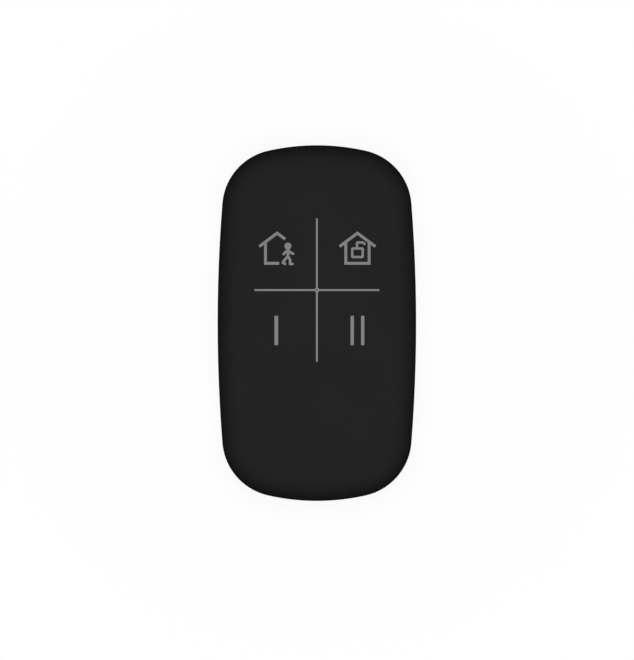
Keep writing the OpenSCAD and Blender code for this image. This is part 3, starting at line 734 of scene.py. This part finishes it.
def lug_sector(reach, angle, middle, low, high):
    """Sector of a ring around the door's axis: a lug, or a notch that lets one through."""
    bm = bmesh.new()
    first = PLUG_R - LUG_REACH
    corners = ((first, low), (reach, low), (reach, high), (first, high))
    section = bm.faces.new([bm.verts.new(DOOR_AT + Vector((r, 0, z))) for r, z in corners])
    start = Matrix.Rotation(middle - angle / 2, 3, "Z")
    bmesh.ops.rotate(bm, verts=bm.verts[:], cent=DOOR_AT, matrix=start)
    bmesh.ops.spin(bm, geom=[section], cent=DOOR_AT, axis=UP, angle=angle, steps=LUG_STEPS)
    close(bm)
    return bm


def dimple(radius, turn, z):
    """Ball that leaves a position mark in a level face, at a radius and an angle about the door's axis."""
    ball_r = (MARK_R ** 2 + MARK_DEPTH ** 2) / (2 * MARK_DEPTH)
    way = Vector((math.cos(turn), math.sin(turn), 0))
    place = Matrix.Translation(DOOR_AT + radius * way + UP * (z + MARK_DEPTH - ball_r))
    bm = bmesh.new()
    bmesh.ops.create_uvsphere(
        bm, u_segments=HOLE_STEPS, v_segments=HOLE_STEPS // 2, radius=ball_r, matrix=place
    )
    return bm


def coin_slot():
    """Slot for a coin, with a round lip and a filleted floor."""
    reach = SLOT_HALF.to_3d() + Vector((MOUTH_ROUND, MOUTH_ROUND, 0))
    low = DOOR_AT - reach + UP * (DOOR_FACE - PAST)
    high = DOOR_AT + reach + UP * (DOOR_FACE - HAIR)
    bm = rounded_block(low, high, SLOT_CORNER_R + MOUTH_ROUND, KEY_STEPS)
    sink(bm, face_at(bm, high.z), MOUTH_ROUND, SLOT_DEPTH - MOUTH_ROUND - SLOT_FILLET, SLOT_FILLET)
    close(bm)
    return bm


def make_door():
    """Battery door: a turned disc with its plug, seal groove, lugs, coin slot and position mark."""
    groove_r = (RIM_R + PLUG_R) / 2
    points = [
        (0, DOOR_FACE), (RIM_R, DOOR_FACE), (RIM_R, RIM_TOP),
        (groove_r + GROOVE_HALF, RIM_TOP), (groove_r + GROOVE_HALF, RIM_TOP - GROOVE_DEPTH),
        (groove_r - GROOVE_HALF, RIM_TOP - GROOVE_DEPTH), (groove_r - GROOVE_HALF, RIM_TOP),
        (PLUG_R, RIM_TOP), (PLUG_R, PLUG_TOP), (0, PLUG_TOP),
    ]
    door = new_object(turned(points, {1: DOOR_ROUND}), "door_disc")
    for index in range(LUG_COUNT):
        middle = 2 * math.pi * index / LUG_COUNT
        lug = lug_sector(PLUG_R + LUG_REACH, LUG_ANGLE, middle, PLUG_TOP - LUG_T, PLUG_TOP - HAIR)
        combine(door, "UNION", lug)
    combine(door, "DIFFERENCE", coin_slot())
    combine(door, "DIFFERENCE", dimple(RIM_R - MARK_IN - MARK_R, math.pi / 2, DOOR_FACE))
    finish_piece(door, "shell_plastic", "battery_door")
    even_normals(door)
    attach(door, "door")


def snap_tab(place, side):
    """Tab with a nose and a rib to the side wall, on one side of the shell."""
    turn = math.asin(place / SIDE_R)
    way = Vector((math.cos(turn), math.sin(turn), 0))
    foot = Vector((HALF_W - SIDE_R, 0, 0)) + (SIDE_R - TAB_INSET) * way
    wall = TAB_INSET - SHELL_T + BITE
    low = SHELL_T - BITE
    nose = TAB_TOP - NOSE_H
    bm = bmesh.new()
    corners = (
        (-TAB_T, low), (wall, low), (wall, TAB_RIB_TOP), (0, TAB_RIB_TOP), (0, nose), (NOSE_REACH, nose),
        (0, TAB_TOP), (-TAB_T, TAB_TOP),
    )
    section = bm.faces.new([bm.verts.new((x, -TAB_W / 2, z)) for x, z in corners])
    push(bm, section, Vector((0, TAB_W, 0)))
    stand = Matrix.Translation(foot) @ Matrix.Rotation(turn, 4, "Z")
    bmesh.ops.transform(bm, verts=bm.verts[:], matrix=stand)
    bmesh.ops.scale(bm, verts=bm.verts[:], vec=(side, 1, 1))
    close(bm)
    return bm


def cord_lug():
    """Block around the lanyard passage."""
    low = Vector((-CORD_LUG_W / 2, SHELL_T - BITE - HALF_L, SHELL_T - BITE))
    reach = CORD_HOLE_R + CORD_LUG_WALL
    high = Vector((CORD_LUG_W / 2, CORD_HOLE_Y + reach, CORD_HOLE_Z + reach))
    return rounded_block(low, high, CORD_LUG_WALL, ROUND_STEPS)


def cord_passage():
    """Round passage that goes up from the back and bends out of the lower end, with a lip at each end."""
    bm = bmesh.new()
    radius = CORD_HOLE_R + MOUTH_ROUND
    foot = Matrix.Translation((0, CORD_HOLE_Y, -PAST))
    bmesh.ops.create_circle(bm, cap_ends=True, segments=HOLE_STEPS, radius=radius, matrix=foot)
    face = push(bm, bm.faces[:][0], UP * (PAST - HAIR))
    for width, rise in arc_steps(MOUTH_ROUND):
        face = taper(bm, face, UP * rise, 1 - width / radius)
        radius -= width
    bend = Vector((0, CORD_HOLE_Y - CORD_BEND_R, CORD_HOLE_Z - CORD_BEND_R))
    face = push(bm, face, UP * (bend.z - MOUTH_ROUND + HAIR))
    made = bmesh.ops.spin(
        bm, geom=[face, *face.edges], cent=bend, axis=ACROSS, angle=math.pi / 2, steps=ROLL_STEPS
    )["geom_last"]
    face = next(g for g in made if isinstance(g, bmesh.types.BMFace))
    out = Vector((0, -1, 0))
    face = push(bm, face, out * (HALF_L + bend.y - CORD_FLARE))
    for width, rise in reversed(arc_steps(CORD_FLARE)):
        face = taper(bm, face, out * rise, 1 + width / radius)
        radius += width
    push(bm, face, out * PAST)
    close(bm)
    return bm


def make_shell():
    """Rear shell with its rolled edge, snap tabs, the door's seat and the lanyard passage."""
    bm = pebble(0, PART_Z, (BACK_ROLL, ROLL_STEPS), (SEAM_ROUND, ROUND_STEPS))
    hollow(bm, PART_Z, SHELL_T - SEAM_ROUND, SHELL_T, BACK_ROLL - SHELL_T)
    inset(bm, face_at(bm, 0), FLAT_RING)
    close(bm)
    shell = new_object(bm, "rear_case")
    opening_r = RIM_R + DOOR_GAP
    seat_r = PLUG_R + DOOR_GAP
    wall_r = opening_r + SEAT_WALL
    combine(shell, "UNION", turned([
        (0, SHELL_T - BITE), (wall_r, SHELL_T - BITE), (wall_r, SEAT_TOP), (0, SEAT_TOP)
    ]))
    combine(shell, "UNION", cord_lug())
    for place in TAB_PLACES:
        for side in (-1, 1):
            combine(shell, "UNION", snap_tab(place, side))
    combine(shell, "DIFFERENCE", turned([
        (0, SEAT_TOP + PAST), (seat_r, SEAT_TOP + PAST), (seat_r, SEAT_Z), (opening_r, SEAT_Z),
        (opening_r, -HAIR), (opening_r + PAST, -HAIR), (opening_r + PAST, -PAST), (0, -PAST),
    ], {4: MOUTH_ROUND}))
    for index in range(LUG_COUNT):
        middle = 2 * math.pi * index / LUG_COUNT - DOOR_TURN
        reach = PLUG_R + LUG_REACH + DOOR_GAP
        notch = lug_sector(reach, NOTCH_ANGLE, middle, SEAT_Z - BITE, SEAT_TOP + BITE)
        combine(shell, "DIFFERENCE", notch)
    for turn in (0, DOOR_TURN):
        combine(shell, "DIFFERENCE", dimple(opening_r + MARK_IN + MARK_R, math.pi / 2 - turn, 0))
    combine(shell, "DIFFERENCE", cord_passage())
    finish_piece(shell, "shell_plastic", "rear_shell")
    even_normals(shell)
    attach(shell, "housing")


make_skin()
for key in KEYS:
    make_key(key)
    make_dome(key)
make_door()
make_shell()

slots = {part["node"]: part["material_slot"] for part in frame["record"]["subparts"]}
for name, node in frame["nodes"].items():
    node.data.materials.clear()
    node.data.materials.append(finishes[slots[name]])

# Stage: a pale floor, a soft lamp close above, a wide one below, even light all round, and a camera
# straight above
FLOOR_SIZE = 2.0
FLOOR_Z = -0.02 * MM
FLOOR_BOUNCE = 0.25
FLOOR_SHADE = 0.06
SHADE_NEAR = 0.035
SHADE_FAR = 0.06
LAMP_SIZE = 0.07
LAMP_HEIGHT = 0.15
LAMP_POWER = 0.1915
BACK_LAMP_SIZE = 2.4
BACK_LAMP_HEIGHT = -0.8
BACK_LAMP_POWER = 24.0
ROOM_LIGHT = 0.08
LENS = 400.0
SENSOR = 36.0
VIEW_HEIGHT = 111.4 * MM
VIEW_AT = Vector((0.02 * MM, -1.165 * MM, 7 * MM))


def any_of(f, kind, *names):
    """1 where one of a node's outputs is 1."""
    outputs = f.node(kind).socket.node.outputs
    total = sum(Wire(f, outputs[name]) for name in names)
    return f.node("ShaderNodeMath", {"operation": "MINIMUM"}, {0: total, 1: 1.0})


def seen_directly(f):
    """1 for rays from the camera, in mirrors and through glass, 0 for the light that falls on things."""
    return any_of(f, "ShaderNodeLightPath", "Is Camera Ray", "Is Glossy Ray", "Is Transmission Ray")


def floor_finish():
    """Pale floor. Seen directly it is white with a faint shadow near the fob, and it throws back some
    light. From below it isn't seen, and it lets the lower lamp's light through."""
    f = new_finish("floor")
    away = f.around((0, 0, 0))[0]
    shade = FLOOR_SHADE * (1 - f.ramp(away, SHADE_NEAR, SHADE_FAR))
    white = f.node("ShaderNodeEmission", sockets={"Color": grey(1), "Strength": 1.0})
    paint = f.node("ShaderNodeBsdfDiffuse", sockets={"Color": grey(1)})
    dull = f.node("ShaderNodeBsdfDiffuse", sockets={"Color": grey(FLOOR_BOUNCE)})
    clear = f.node("ShaderNodeBsdfTransparent")
    pale = f.node("ShaderNodeMixShader", sockets={0: shade, 1: white, 2: paint})
    above = f.node("ShaderNodeMixShader", sockets={0: seen_directly(f), 1: dull, 2: pale})
    below = f.node("ShaderNodeMixShader", sockets={
        0: any_of(f, "ShaderNodeNewGeometry", "Backfacing"), 1: above, 2: clear
    })
    return f.surface(f.node("ShaderNodeMixShader", sockets={
        0: any_of(f, "ShaderNodeLightPath", "Is Shadow Ray"), 1: below, 2: clear
    }))


def make_floor():
    bm = bmesh.new()
    level = Matrix.Translation((0, 0, FLOOR_Z))
    bmesh.ops.create_grid(bm, x_segments=1, y_segments=1, size=FLOOR_SIZE / 2, matrix=level)
    floor = new_object(bm, "floor")
    floor.data.materials.append(floor_finish())


def add_lamp(name, height, size, power):
    """Soft square lamp on the fob's axis, above it or below it, turned towards it."""
    lamp = bpy.data.lights.new(name, "AREA")
    lamp.shape = "SQUARE"
    lamp.size = size
    lamp.energy = power
    holder = bpy.data.objects.new(name, lamp)
    holder.location = (0, 0, height)
    holder.rotation_euler.x = 0 if height > 0 else math.pi
    holder.visible_camera = False
    bpy.context.scene.collection.objects.link(holder)


def make_room():
    """Even light all round, white where it is seen directly."""
    world = bpy.data.worlds.new("room")
    bpy.context.scene.world = world
    f = Finish(world)
    strength = ROOM_LIGHT + (1 - ROOM_LIGHT) * seen_directly(f)
    light = f.node("ShaderNodeBackground", sockets={"Color": grey(1), "Strength": strength})
    f.node("ShaderNodeOutputWorld", sockets={"Surface": light})


def make_camera():
    camera = bpy.data.cameras.new("camera")
    camera.lens = LENS
    camera.sensor_width = SENSOR
    distance = VIEW_HEIGHT * LENS / SENSOR
    camera.clip_end = 2 * distance
    holder = bpy.data.objects.new("camera", camera)
    holder.location = VIEW_AT + UP * distance
    bpy.context.scene.collection.objects.link(holder)
    bpy.context.scene.camera = holder


make_floor()
add_lamp("lamp_above", LAMP_HEIGHT, LAMP_SIZE, LAMP_POWER)
add_lamp("lamp_below", BACK_LAMP_HEIGHT, BACK_LAMP_SIZE, BACK_LAMP_POWER)
make_room()
make_camera()
bpy.context.scene.view_settings.view_transform = "Standard"
